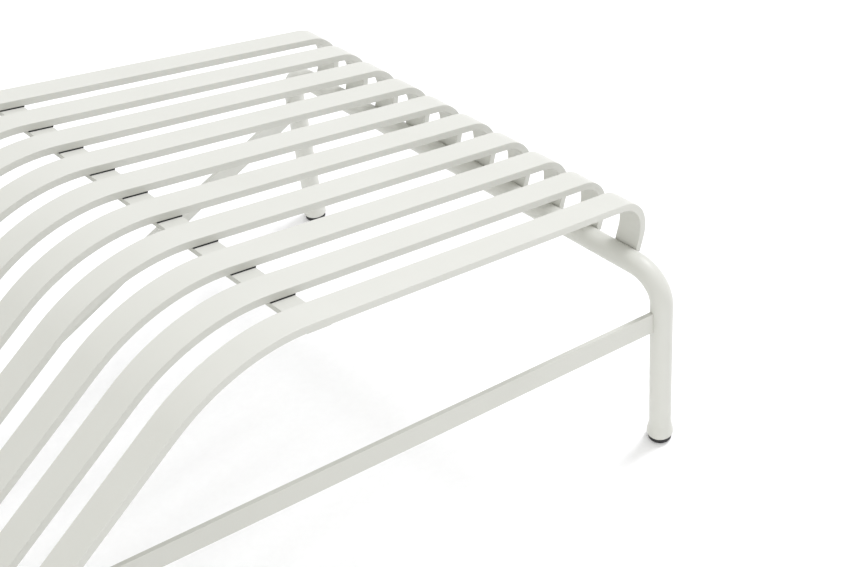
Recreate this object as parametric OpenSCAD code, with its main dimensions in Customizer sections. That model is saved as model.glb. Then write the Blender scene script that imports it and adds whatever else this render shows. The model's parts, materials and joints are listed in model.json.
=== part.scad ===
// Slatted metal lounger: ten bent flat bars carried by two tube frames, which a
// pair of converging flat braces ties together.
//
// X runs along the lounger with +X at the foot end, Y runs across it and Z is up.
// The origin is on the ground, at the middle of the lounger's bounding box.

/* [Slats] */
// Width of a slat's flat bar
slat_w = 30; // [20:0.5:36]
// Thickness of a slat's flat bar
slat_t = 8.5; // [5:0.5:10]
// Distance between the middles of neighbouring slats
slat_pitch = 56; // [48:0.5:60]

/* [Side profile] */
// Height of the leg rest's upper face above the front frame
rest_z = 317.9; // [306:0.1:330]
// Fall of the leg rest towards the foot end, in degrees
rest_slope = 15.7; // [11:0.1:18]
// Length of the straight leg rest
rest_len = 410; // [360:1:440]
// Outer radius of the bend at the foot end
nose_r = 46; // [42:0.5:50]
// Angle of the bend at the foot end, in degrees
nose_turn = 95; // [90:0.5:100]
// Outer radius of the bend under the knees
knee_r = 192.5; // [140:0.5:230]
// Angle of the bend under the knees, in degrees
knee_turn = 46; // [40:0.5:50]
// Length of the straight run from the knees down to the seat
thigh_len = 240; // [210:1:260]
// Radius of the seat's hollow, at its upper face
seat_r = 170; // [140:1:200]
// Rise of the back from the horizontal, in degrees
back_slope = 52; // [45:0.5:60]
// Length of the straight back
back_len = 585; // [520:1:640]
// Outer radius of the bend at the head
head_r = 42; // [36:0.5:50]

/* [Tube frames] */
// Outer diameter of the frame tube
tube_d = 25; // [20:0.5:28]
// Wall thickness of the frame tube
tube_wall = 2; // [1.5:0.1:3]
// Distance between the two legs of a frame, axis to axis
leg_span = 622; // [606:1:640]
// Bend radius at a frame's top corners, at the tube's axis
corner_r = 36.5; // [32:0.5:50]
// Height of the front cross tube's axis
front_tube_z = 240.6; // [237:0.1:245]
// Distance from the front frame back to the rear frame
frame_gap = 1000; // [960:1:1040]

/* [Feet] */
// Largest diameter of the flared foot
foot_d = 30.5; // [28:0.5:36]
// Height of the straight rim at the bottom of the flare, with its rounded edge
foot_rim_h = 4.5; // [3:0.5:8]
// Radius of the rim's rounded lower edge
foot_edge_r = 2; // [1:0.5:3]
// Height of the cone above the rim
foot_flare_h = 14; // [8:0.5:20]
// Diameter of the glide's sole
glide_d = 27; // [23:0.5:28]
// Height of the glide's sole below the foot
glide_h = 7; // [4:0.5:8]
// Length of the glide's stem inside the tube
stem_h = 18; // [10:1:30]

/* [Flat bars] */
// Width of the cross bars and the braces
bar_w = 27; // [22:0.5:30]
// Thickness of the cross bars and the braces
bar_t = 5; // [4:0.5:6]
// Distance from an outer slat's side face in to the end of a cross bar
bar_inset = 6.5; // [0:0.5:12]
// Thickness of the pads between a cross bar and the slats
pad_t = 1.2; // [0.8:0.1:3]
// Height of a brace's middle where it meets the front leg
brace_z = 184; // [166:1:196]
// Distance that a brace moves inwards for each millimetre towards the rear
brace_toe = 0.286; // [0.27:0.001:0.3]
// Fall of a brace for each millimetre towards the rear
brace_fall = 0.035; // [0:0.005:0.1]
// Distance up the back to the middle of its cross bar
back_bar_at = 400; // [200:5:540]
// Distance that the head tube reaches past the outer slats
head_tube_over = 12; // [6:1:30]

/* [Hidden] */
$fn = 64;

SLATS = ["slat_01", "slat_02", "slat_03", "slat_04", "slat_05",
         "slat_06", "slat_07", "slat_08", "slat_09", "slat_10"];

PAINT = "#E6E6DF";
BLACK = "#1E1E1E";

tube_r = tube_d / 2;
bore_r = tube_r - tube_wall;
half_span = leg_span / 2;
slats_w = (len(SLATS) - 1) * slat_pitch + slat_w;
bar_len = slats_w - 2 * bar_inset;

// The side profile is drawn in a plane with u towards the rear and v up. A pose is
// [u, v, heading], and the path of a slat's upper face goes from the foot to the head.
function ahead(h) = [cos(h), sin(h)];
function left_of(h) = [-sin(h), cos(h)];
function point(pose) = [pose[0], pose[1]];
function step(pose, d) = concat(point(pose) + d * ahead(pose[2]), [pose[2]]);
function aside(pose, d) = concat(point(pose) + d * left_of(pose[2]), [pose[2]]);

// A segment is [length] for a straight run or [radius, turn] for a bend of the upper
// face, with a turn to the right negative.
function bend_centre(pose, seg) = point(pose) + sign(seg[1]) * seg[0] * left_of(pose[2]);
function after(pose, seg) = len(seg) == 1
    ? step(pose, seg[0])
    : concat(bend_centre(pose, seg) - sign(seg[1]) * seg[0] * left_of(pose[2] + seg[1]),
             [pose[2] + seg[1]]);
function pose_at(i) = i == 0 ? tail_pose : after(pose_at(i - 1), PATH[i - 1]);

// The outline of one side face, in steps of a few degrees round each bend.
bend_step = 3;
function steps(seg) = len(seg) == 1 ? 1 : ceil(abs(seg[1]) / bend_step);
function part_of(seg, share) = len(seg) == 1 ? [share * seg[0]] : [seg[0], share * seg[1]];
function face_line(depth) = [
    for (i = [0 : len(PATH) - 1])
        for (k = [i == 0 ? 0 : 1 : steps(PATH[i])])
            point(aside(after(pose_at(i), part_of(PATH[i], k / steps(PATH[i]))), -depth))
];
function reversed(list) = [for (i = [len(list) - 1 : -1 : 0]) list[i]];

// The path starts at the tail below the nose, deep enough to be cut to the tube.
tail_len = 18;
head_turn = back_slope + 90;
head_tail_len = 12;
PATH = [
    [tail_len],
    [nose_r, -nose_turn],
    [rest_len],
    [knee_r, -knee_turn],
    [thigh_len],
    [seat_r, knee_turn - rest_slope + back_slope],
    [back_len],
    [head_r, -head_turn],
    [head_tail_len]
];
REST = 2;
THIGH = 4;
BACK = 6;
HEAD_END = 9;

nose_end_u = 8;
nose_end = [nose_end_u, rest_z + nose_end_u * tan(rest_slope)];
nose_centre = nose_end - nose_r * left_of(rest_slope);
tail_heading = rest_slope + nose_turn;
nose_start = nose_centre + nose_r * left_of(tail_heading);
tail_pose = concat(nose_start - tail_len * ahead(tail_heading), [tail_heading]);

// Places of the frames and the head tube along u, and of their axes along v.
tube_sink = 0.3;
under_slat = slat_t + tube_r - tube_sink;
rear_run = (frame_gap + under_slat * left_of(back_slope)[0] - pose_at(BACK)[0]) / cos(back_slope);
rear_axis = point(aside(step(pose_at(BACK), rear_run), -under_slat));
rear_tube_z = rear_axis[1];
head_axis = point(step(aside(pose_at(HEAD_END), -slat_t / 2), tube_r - 3));

// Where the cross bars' middles lie along the upper face.
knee_pose = step(pose_at(REST), rest_len - bar_w / 2);
seat_pose = step(pose_at(THIGH), thigh_len - bar_w / 2);
back_pose = step(pose_at(BACK), back_bar_at);

// The origin is midway between the nose and the outermost line of the head.
nose_u = nose_centre[0] - nose_r;
head_centre_u = bend_centre(pose_at(HEAD_END - 2), PATH[HEAD_END - 2])[0];
origin_u = (nose_u + max(head_centre_u + head_r, head_axis[0] + tube_r)) / 2;
front_x = origin_u;
rear_x = origin_u - frame_gap;

// Moves a shape from the profile's plane, with its width along z, into the lounger.
module from_profile() {
    translate([origin_u, 0, 0])
        rotate([90, 0, 180])
            children();
}

module at_pose(pose) {
    translate(point(pose))
        rotate(pose[2])
            children();
}

module cross_tube_cut(axis) {
    translate(axis)
        cylinder(r = tube_r, h = slat_w + 2, center = true);
}

// One slat, cut at its ends and at the rear frame to sit on the round tubes.
module slat(index) {
    y = (index - (len(SLATS) - 1) / 2) * slat_pitch;
    color(PAINT)
        translate([0, -y, 0])
            from_profile()
                difference() {
                    linear_extrude(slat_w, center = true)
                        polygon(concat(face_line(0), reversed(face_line(slat_t))));
                    cross_tube_cut([0, front_tube_z]);
                    cross_tube_cut(rear_axis);
                    cross_tube_cut(head_axis);
                }
}

// A rod along a frame's whole path, used for the tube's outside and for its bore.
module frame_rod(r, top_z, bottom_z) {
    bend_z = top_z - corner_r;
    bend_y = half_span - corner_r;
    for (side = [-1, 1])
        scale_side(side) {
            translate([0, half_span, bottom_z])
                cylinder(r = r, h = bend_z - bottom_z);
            translate([0, bend_y, bend_z])
                rotate([90, 0, 90])
                    rotate_extrude(angle = 90)
                        translate([corner_r, 0])
                            circle(r = r);
        }
    translate([0, 0, top_z])
        rotate([90, 0, 0])
            cylinder(r = r, h = 2 * bend_y, center = true);
}

module scale_side(side) {
    mirror([0, side < 0 ? 1 : 0, 0])
        children();
}

// The flare that widens a leg to its foot: a straight rim below a cone.
module foot_flare() {
    rotate_extrude()
        rounded_rim(foot_d / 2, foot_rim_h, foot_edge_r);
    translate([0, 0, foot_rim_h])
        cylinder(r1 = foot_d / 2, r2 = tube_r, h = foot_flare_h);
}

// Half the section of a disc whose lower edge is rounded.
module rounded_rim(r, h, edge_r) {
    square([r - edge_r, h]);
    translate([0, edge_r])
        square([r, h - edge_r]);
    translate([r - edge_r, edge_r])
        circle(r = edge_r);
}

// An upside-down U of round tube with a flared foot on each leg.
module tube_frame(x, top_z) {
    color(PAINT)
        translate([x, 0, 0])
            difference() {
                union() {
                    frame_rod(tube_r, top_z, glide_h);
                    for (side = [-1, 1])
                        translate([0, side * half_span, glide_h])
                            foot_flare();
                }
                frame_rod(bore_r, top_z, glide_h - 1);
            }
}

// A flat brace on edge, from a front leg back to the middle of the rear stretcher.
module brace(side) {
    yaw = atan(brace_toe);
    pitch = atan(brace_fall * cos(yaw));
    color(PAINT)
        scale_side(side)
            difference() {
                translate([front_x, half_span, brace_z])
                    rotate([0, 0, 180 + yaw])
                        rotate([0, pitch, 0])
                            translate([0, -bar_t / 2, -bar_w / 2])
                                cube([frame_gap * 1.1, bar_t, bar_w]);
                translate([front_x, half_span, 0])
                    cylinder(r = tube_r, h = front_tube_z);
                translate([rear_x + bar_t / 2 - frame_gap / 2, 0, brace_z])
                    cube([frame_gap, leg_span, frame_gap], center = true);
            }
}

// A flat bar on edge between the rear legs, where the braces end.
module rear_stretcher() {
    middle_z = brace_z - brace_fall * frame_gap;
    color(PAINT)
        difference() {
            translate([rear_x, 0, middle_z])
                cube([bar_t, leg_span, bar_w], center = true);
            for (side = [-1, 1])
                translate([rear_x, side * half_span, 0])
                    cylinder(r = tube_r, h = rear_tube_z);
        }
}

// A flat bar across all the slats, a pad's thickness below them.
module cross_bar(pose) {
    color(PAINT)
        from_profile()
            at_pose(aside(pose, -slat_t - pad_t - bar_t / 2))
                cube([bar_w, bar_t, bar_len], center = true);
}

// One pad under each slat, and none past the ends of the bar.
module pads(pose) {
    color(BLACK)
        from_profile()
            at_pose(aside(pose, -slat_t - pad_t))
                for (i = [0 : len(SLATS) - 1]) {
                    middle = (i - (len(SLATS) - 1) / 2) * slat_pitch;
                    low = max(middle - slat_w / 2, -bar_len / 2);
                    high = min(middle + slat_w / 2, bar_len / 2);
                    translate([-bar_w / 2, 0, low])
                        cube([bar_w, pad_t, high - low]);
                }
}

module head_tube() {
    color(PAINT)
        from_profile()
            translate(head_axis)
                difference() {
                    cylinder(r = tube_r, h = slats_w + 2 * head_tube_over, center = true);
                    cylinder(r = bore_r, h = slats_w + 4 * head_tube_over, center = true);
                }
}

// A stopper in the head tube's open end: a thin cap with a stem in the bore.
module head_plug(side) {
    cap_h = 2;
    color(PAINT)
        translate([origin_u - head_axis[0], side * (slats_w / 2 + head_tube_over), head_axis[1]])
            rotate([-90 * side, 0, 0]) {
                cylinder(r = tube_r - 0.5, h = cap_h);
                translate([0, 0, -stem_h])
                    cylinder(r = bore_r, h = stem_h);
            }
}

// A black glide: a sole with a rounded lower edge and a stem in the leg's bore.
module glide(x, side) {
    color(BLACK)
        translate([x, side * half_span, 0]) {
            rotate_extrude()
                rounded_rim(glide_d / 2, glide_h, glide_h / 4);
            cylinder(r = bore_r, h = glide_h + stem_h);
        }
}

slat(0);  // slat_01
slat(1);  // slat_02
slat(2);  // slat_03
slat(3);  // slat_04
slat(4);  // slat_05
slat(5);  // slat_06
slat(6);  // slat_07
slat(7);  // slat_08
slat(8);  // slat_09
slat(9);  // slat_10
tube_frame(front_x, front_tube_z);  // front_frame
tube_frame(rear_x, rear_tube_z);  // rear_frame
brace(1);  // brace_left
brace(-1);  // brace_right
rear_stretcher();
cross_bar(knee_pose);  // knee_bar
cross_bar(seat_pose);  // seat_bar
cross_bar(back_pose);  // back_bar
pads(knee_pose);  // knee_pads
pads(seat_pose);  // seat_pads
pads(back_pose);  // back_pads
head_tube();
head_plug(1);  // head_plug_left
head_plug(-1);  // head_plug_right
glide(front_x, 1);  // glide_front_left
glide(front_x, -1);  // glide_front_right
glide(rear_x, 1);  // glide_rear_left
glide(rear_x, -1);  // glide_rear_right
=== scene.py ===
import json
import math

import bpy
from mathutils import Matrix, Vector


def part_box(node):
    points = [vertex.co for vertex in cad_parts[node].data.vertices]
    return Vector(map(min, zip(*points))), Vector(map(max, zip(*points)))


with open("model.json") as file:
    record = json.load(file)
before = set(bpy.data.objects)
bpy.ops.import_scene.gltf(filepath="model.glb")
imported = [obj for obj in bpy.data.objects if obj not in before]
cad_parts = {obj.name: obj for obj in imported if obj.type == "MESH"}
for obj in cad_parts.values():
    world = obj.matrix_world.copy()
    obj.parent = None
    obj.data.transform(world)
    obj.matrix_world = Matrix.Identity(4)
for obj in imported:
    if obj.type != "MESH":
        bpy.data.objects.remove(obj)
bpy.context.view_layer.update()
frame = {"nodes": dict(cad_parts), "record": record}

scene = bpy.context.scene
nodes = frame["nodes"]

# The camera stands beside the lounger's back and looks down to the foot end. Its azimuth
# turns clockwise from +Y, and its place is measured from the ground point midway between
# the front feet.
IMAGE_WIDTH = 850
FOCAL_PX = 1461.73
SENSOR = 36.0
AZIMUTH = math.radians(44.400)
PITCH = math.radians(-39.149)
ROLL = math.radians(3.115)
CAMERA_FROM_FRONT = Vector((-0.89700, -1.04814, 1.25402))
SHIFT = (-0.1353, -0.0629)
CLIP = (0.01, 100)

# The even sky grows brighter round one direction, beyond the lounger's head and to its
# right. The two cosines say where the glow starts and where it is full.
SKY_STRENGTH = 0.88
GLOW_EXTRA = 0.95
GLOW_DIRECTION = (-0.95, -0.30, 0.05)
GLOW_COSINES = (0.5, 0.95)

# The key is a round soft light above and past the foot end.
KEY_POWER = 148
KEY_PLACE = (3.3, -0.35, 4.2)
KEY_TARGET = (0.2, 0, 0.2)
KEY_SIZE = 1.7
KEY_COLOUR = (0.99, 0.99, 1.05)


def front_x():
    lo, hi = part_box("glide_front_left")
    return (lo.x + hi.x) / 2


def make_camera():
    data = bpy.data.cameras.new("camera")
    data.sensor_fit = "HORIZONTAL"
    data.sensor_width = SENSOR
    data.lens = SENSOR * FOCAL_PX / IMAGE_WIDTH
    data.shift_x, data.shift_y = SHIFT
    data.clip_start, data.clip_end = CLIP
    camera = bpy.data.objects.new("camera", data)
    scene.collection.objects.link(camera)
    forward = Vector((
        math.sin(AZIMUTH) * math.cos(PITCH),
        math.cos(AZIMUTH) * math.cos(PITCH),
        math.sin(PITCH),
    ))
    level = Vector((math.cos(AZIMUTH), -math.sin(AZIMUTH), 0))
    low = forward.cross(level)
    right = math.cos(ROLL) * level + math.sin(ROLL) * low
    down = -math.sin(ROLL) * level + math.cos(ROLL) * low
    turn = Matrix((right, -down, -forward)).transposed().to_4x4()
    place = Vector((front_x(), 0, 0)) + CAMERA_FROM_FRONT
    camera.matrix_world = Matrix.Translation(place) @ turn
    scene.camera = camera


make_camera()

# --- materials

# Noise scales, in cells to the metre.
COAT_TONE, COAT_GLOSS, COAT_PEEL, COAT_GRAIN = 14, 60, 420, 1700
MOULD_TONE, MOULD_GLOSS, MOULD_GRAIN = 40, 150, 2600
FLOOR_TONE = 90

# Each bump is its distance in metres and its strength.
COAT_PEEL_BUMP = (0.0002, 0.30)
COAT_GRAIN_BUMP = (0.00005, 0.25)
MOULD_GRAIN_BUMP = (0.00008, 0.4)

COAT_ROUGHNESS = (0.40, 0.50)
COAT_SPECULAR = 0.45
MOULD_ROUGHNESS_SPREAD = 0.06


def principled(name):
    material = bpy.data.materials.new(name)
    material.use_nodes = True
    return material, material.node_tree, material.node_tree.nodes["Principled BSDF"]


def object_coords(tree):
    return tree.nodes.new("ShaderNodeTexCoord").outputs["Object"]


def noise(tree, coords, scale, detail, roughness=0.5):
    node = tree.nodes.new("ShaderNodeTexNoise")
    node.inputs["Scale"].default_value = scale
    node.inputs["Detail"].default_value = detail
    node.inputs["Roughness"].default_value = roughness
    tree.links.new(coords, node.inputs["Vector"])
    return node.outputs["Fac"]


def ramp(tree, value, low, high, from_low=0.3, from_high=0.7):
    node = tree.nodes.new("ShaderNodeMapRange")
    node.inputs["From Min"].default_value = from_low
    node.inputs["From Max"].default_value = from_high
    node.inputs["To Min"].default_value = low
    node.inputs["To Max"].default_value = high
    tree.links.new(value, node.inputs["Value"])
    return node.outputs["Result"]


def mix_colour(tree, share, first, second):
    node = tree.nodes.new("ShaderNodeMix")
    node.data_type = "RGBA"
    tree.links.new(share, node.inputs["Factor"])
    node.inputs["A"].default_value = (*first, 1)
    node.inputs["B"].default_value = (*second, 1)
    return node.outputs["Result"]


def bumps(tree, layers):
    """Chained bump nodes, one for each (height, (distance, strength))."""
    last = None
    for height, (distance, strength) in layers:
        node = tree.nodes.new("ShaderNodeBump")
        node.inputs["Distance"].default_value = distance
        node.inputs["Strength"].default_value = strength
        tree.links.new(height, node.inputs["Height"])
        if last:
            tree.links.new(last, node.inputs["Normal"])
        last = node.outputs["Normal"]
    return last


def powder_coat(name, light, dark):
    """Off-white powder coat: orange peel, a finer grain and a faint drift of tone."""
    material, tree, shader = principled(name)
    coords = object_coords(tree)
    tone = ramp(tree, noise(tree, coords, COAT_TONE, 3), 0, 1)
    tree.links.new(mix_colour(tree, tone, light, dark), shader.inputs["Base Color"])
    gloss = ramp(tree, noise(tree, coords, COAT_GLOSS, 2), *COAT_ROUGHNESS)
    tree.links.new(gloss, shader.inputs["Roughness"])
    shader.inputs["Specular IOR Level"].default_value = COAT_SPECULAR
    peel = noise(tree, coords, COAT_PEEL, 2)
    grain = noise(tree, coords, COAT_GRAIN, 1)
    normal = bumps(tree, [(peel, COAT_PEEL_BUMP), (grain, COAT_GRAIN_BUMP)])
    tree.links.new(normal, shader.inputs["Normal"])
    return material


def moulded(name, light, dark, rough):
    """Moulded plastic or rubber: a fine grain and a faint drift of tone."""
    material, tree, shader = principled(name)
    coords = object_coords(tree)
    tone = ramp(tree, noise(tree, coords, MOULD_TONE, 2), 0, 1)
    tree.links.new(mix_colour(tree, tone, light, dark), shader.inputs["Base Color"])
    smooth = rough - MOULD_ROUGHNESS_SPREAD
    matt = rough + MOULD_ROUGHNESS_SPREAD
    gloss = ramp(tree, noise(tree, coords, MOULD_GLOSS, 2), smooth, matt)
    tree.links.new(gloss, shader.inputs["Roughness"])
    grain = noise(tree, coords, MOULD_GRAIN, 2)
    tree.links.new(bumps(tree, [(grain, MOULD_GRAIN_BUMP)]), shader.inputs["Normal"])
    return material


SLOT_MATERIALS = {
    "paint": powder_coat("paint", (0.560, 0.562, 0.518), (0.547, 0.549, 0.504)),
    "plug": moulded("plug", (0.545, 0.547, 0.500), (0.530, 0.532, 0.486), 0.42),
    "glide": moulded("glide", (0.010, 0.010, 0.011), (0.016, 0.016, 0.016), 0.60),
    "pad": moulded("pad", (0.012, 0.012, 0.012), (0.020, 0.020, 0.020), 0.75),
}
SLOT_OF = {s["node"]: s["material_slot"] for s in frame["record"]["subparts"]}

# --- rounded edges

# How far a piece's edges are cut back, in metres, by a word in its name.
EDGE_ROUNDING = {
    "slat": 0.0009,
    "brace": 0.0005,
    "stretcher": 0.0007,
    "bar": 0.0007,
    "plug": 0.0006,
    "frame": 0.0008,
}
WELD_GAP = 0.00001
FLAT_ANGLE = math.radians(0.6)
SHARP_ANGLE = math.radians(40)
EDGE_SEGMENTS = 3
LARGEST_WEIGHT = 100


def rounding_of(name):
    for key, width in EDGE_ROUNDING.items():
        if key in name:
            return width
    return 0.0


def soften(obj, width):
    """Rounds a CAD node's sharp edges with modifiers alone."""
    weld = obj.modifiers.new("weld", "WELD")
    weld.merge_threshold = WELD_GAP
    if width:
        flat = obj.modifiers.new("flat", "DECIMATE")
        flat.decimate_type = "DISSOLVE"
        flat.angle_limit = FLAT_ANGLE
        bevel = obj.modifiers.new("bevel", "BEVEL")
        bevel.width = width
        bevel.segments = EDGE_SEGMENTS
        bevel.limit_method = "ANGLE"
        bevel.angle_limit = SHARP_ANGLE
    for polygon in obj.data.polygons:
        polygon.use_smooth = True
    normals = obj.modifiers.new("normals", "WEIGHTED_NORMAL")
    normals.keep_sharp = True
    normals.weight = LARGEST_WEIGHT


for name, obj in nodes.items():
    slot = SLOT_OF[name]
    obj.data.materials.clear()
    obj.data.materials.append(SLOT_MATERIALS[slot])
    soften(obj, rounding_of(name))

# --- stage

FLOOR_HALF = 30.0
FLOOR_LIGHT = (0.98, 0.98, 0.98)
FLOOR_DARK = (0.95, 0.95, 0.95)
FLOOR_ROUGHNESS = 0.9


def make_floor():
    mesh = bpy.data.meshes.new("floor")
    signs = [(-1, -1), (1, -1), (1, 1), (-1, 1)]
    corners = [(x * FLOOR_HALF, y * FLOOR_HALF, 0) for x, y in signs]
    mesh.from_pydata(corners, [], [(0, 1, 2, 3)])
    floor = bpy.data.objects.new("floor", mesh)
    scene.collection.objects.link(floor)
    material, tree, shader = principled("floor")
    tone = ramp(tree, noise(tree, object_coords(tree), FLOOR_TONE, 4, 0.7), 0, 1)
    colour = mix_colour(tree, tone, FLOOR_LIGHT, FLOOR_DARK)
    tree.links.new(colour, shader.inputs["Base Color"])
    shader.inputs["Roughness"].default_value = FLOOR_ROUGHNESS
    mesh.materials.append(material)


def make_key():
    data = bpy.data.lights.new("key", "AREA")
    data.energy = KEY_POWER
    data.color = KEY_COLOUR
    data.shape = "DISK"
    data.size = KEY_SIZE
    light = bpy.data.objects.new("key", data)
    scene.collection.objects.link(light)
    light.location = KEY_PLACE
    light.rotation_mode = "QUATERNION"
    aim = Vector(KEY_TARGET) - Vector(KEY_PLACE)
    light.rotation_quaternion = aim.to_track_quat("-Z", "Y")


def make_world():
    """An even white sky that grows brighter round GLOW_DIRECTION."""
    world = bpy.data.worlds.new("world")
    scene.world = world
    world.use_nodes = True
    tree = world.node_tree
    background = tree.nodes["Background"]
    background.inputs["Color"].default_value = (1, 1, 1, 1)
    towards = tree.nodes.new("ShaderNodeVectorMath")
    towards.operation = "DOT_PRODUCT"
    coords = tree.nodes.new("ShaderNodeTexCoord")
    tree.links.new(coords.outputs["Generated"], towards.inputs[0])
    towards.inputs[1].default_value = GLOW_DIRECTION
    brightest = SKY_STRENGTH + GLOW_EXTRA
    glow = ramp(tree, towards.outputs["Value"], SKY_STRENGTH, brightest, *GLOW_COSINES)
    tree.links.new(glow, background.inputs["Strength"])


make_floor()
make_world()
make_key()
scene.view_settings.view_transform = "Standard"
